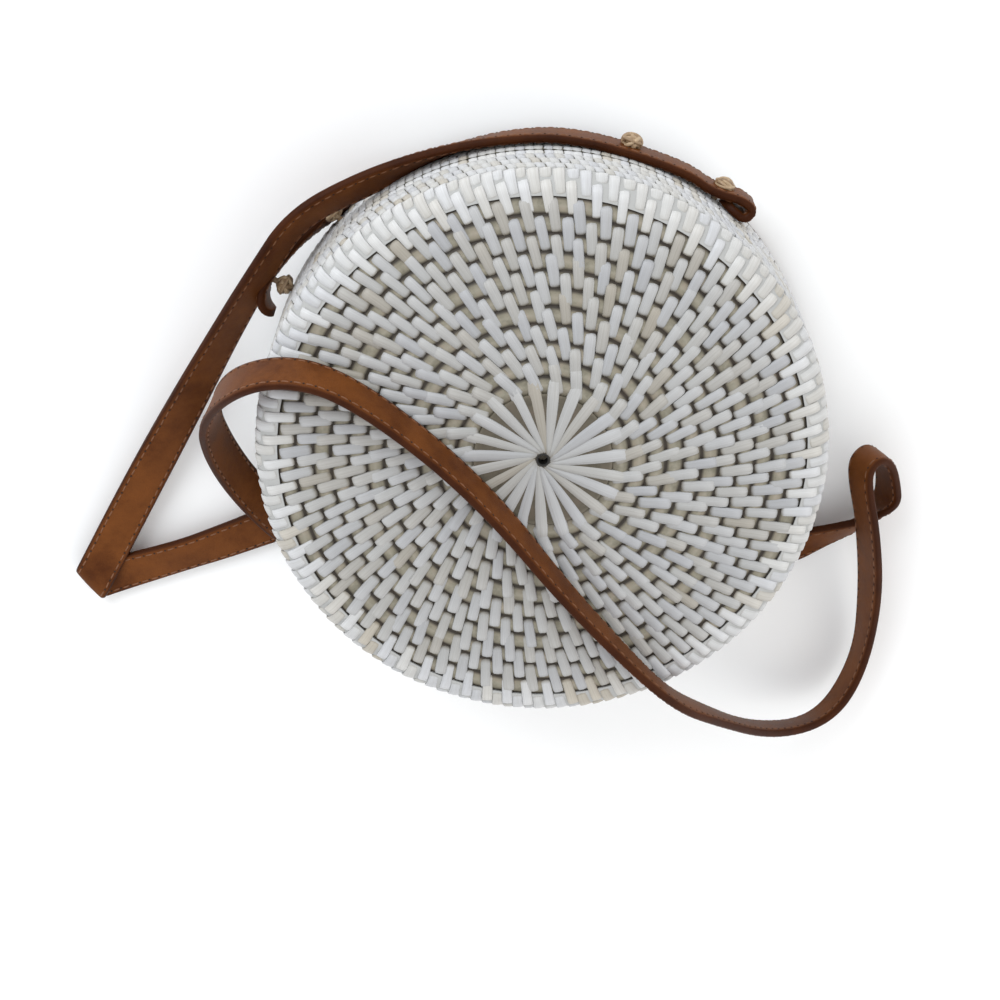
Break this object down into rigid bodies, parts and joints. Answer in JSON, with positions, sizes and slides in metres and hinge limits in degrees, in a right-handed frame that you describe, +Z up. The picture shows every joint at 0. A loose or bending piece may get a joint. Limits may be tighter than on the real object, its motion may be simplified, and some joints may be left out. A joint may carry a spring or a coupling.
{
  "type": "circle bag",
  "caption": "Round woven bag whose dished, coiled halves open on cane hinge rings, with a cloth lining, a magnet catch and a flat leather shoulder strap tied to its back wall by cane knots.",
  "frame": {"origin": "point on the surface that the bag lies on, under the middle of its back face", "axes": "+Z up through the middle of the front face, +Y towards the top of the bag, where the strap is tied on, +X to the right seen from the front"},
  "size_m": [0.3171, 0.2659, 0.0959],
  "materials": {
    "white_rattan": "matte, painted white",
    "natural_cane": "satin",
    "strap_leather": "satin",
    "pocket_leather": "matte",
    "lining_cloth": "matte",
    "magnet": "satin"
  },
  "bodies": {
    "back_half": {"back_face": "white_rattan", "back_wall": "white_rattan", "back_rim": "white_rattan", "back_lining": "lining_cloth", "back_magnet_pocket": "pocket_leather", "back_magnet": "magnet", "hinge_ring_left": "natural_cane", "hinge_ring_right": "natural_cane", "strap_knot_right_lower": "natural_cane", "strap_knot_right_upper": "natural_cane", "strap_knot_left_upper": "natural_cane", "strap_knot_left_lower": "natural_cane", "strap_right_end": "strap_leather", "strap_top_run": "strap_leather", "strap_left_fold": "strap_leather", "strap_left_curl": "strap_leather", "strap_right_run": "strap_leather", "strap_right_loop": "strap_leather", "strap_under_run": "strap_leather", "strap_left_end": "strap_leather"},
    "front_half": {"front_face": "white_rattan", "front_wall": "white_rattan", "front_rim": "white_rattan", "front_lining": "lining_cloth", "front_magnet_pocket": "pocket_leather", "front_magnet": "magnet", "strap_front_run": "strap_leather"}
  },
  "joints": [
    {"name": "front_opening", "type": "hinge", "parent": "back_half", "child": "front_half", "pos_m": [0, -0.1006, 0.04], "axis": [1, 0, 0], "range_deg": [0, 80], "deforming": ["strap_left_curl", "strap_right_run"]}
  ]
}
